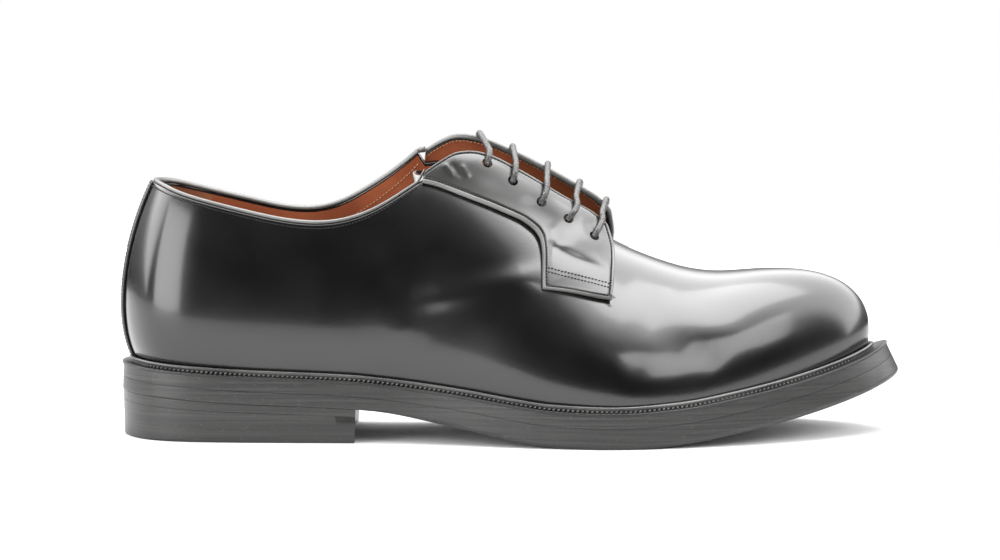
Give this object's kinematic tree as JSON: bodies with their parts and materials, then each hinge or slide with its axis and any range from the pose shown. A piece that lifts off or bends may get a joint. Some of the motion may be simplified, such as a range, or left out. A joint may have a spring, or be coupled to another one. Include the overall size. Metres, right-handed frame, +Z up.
{
  "type": "derby shoe",
  "caption": "Right-foot lace-up derby dress shoe: hollow leather upper with open-laced facings, storm welt, stacked heel.",
  "frame": {"origin": "middle of the heel's flat resting face, on the floor", "axes": "+X to the toe, +Y to the inner (medial) side of this right shoe, +Z up"},
  "size_m": [0.3062, 0.108, 0.1186],
  "materials": {
    "black_leather": "polished, glossy",
    "binding_leather": "satin",
    "tan_lining": "matt",
    "welt_leather": "waxed satin",
    "sole_edge": "burnished edge",
    "heel_stack": "burnished edge",
    "waxed_cord": "waxed"
  },
  "bodies": {
    "root": {"upper": "black_leather", "facing_lateral": "black_leather", "facing_medial": "black_leather", "back_strip": "black_leather", "tongue": "black_leather", "collar_binding": "binding_leather", "insole": "tan_lining", "welt": "welt_leather", "midsole": "sole_edge", "outsole": "sole_edge", "heel": "heel_stack", "lace": "waxed_cord"}
  },
  "joints": []
}
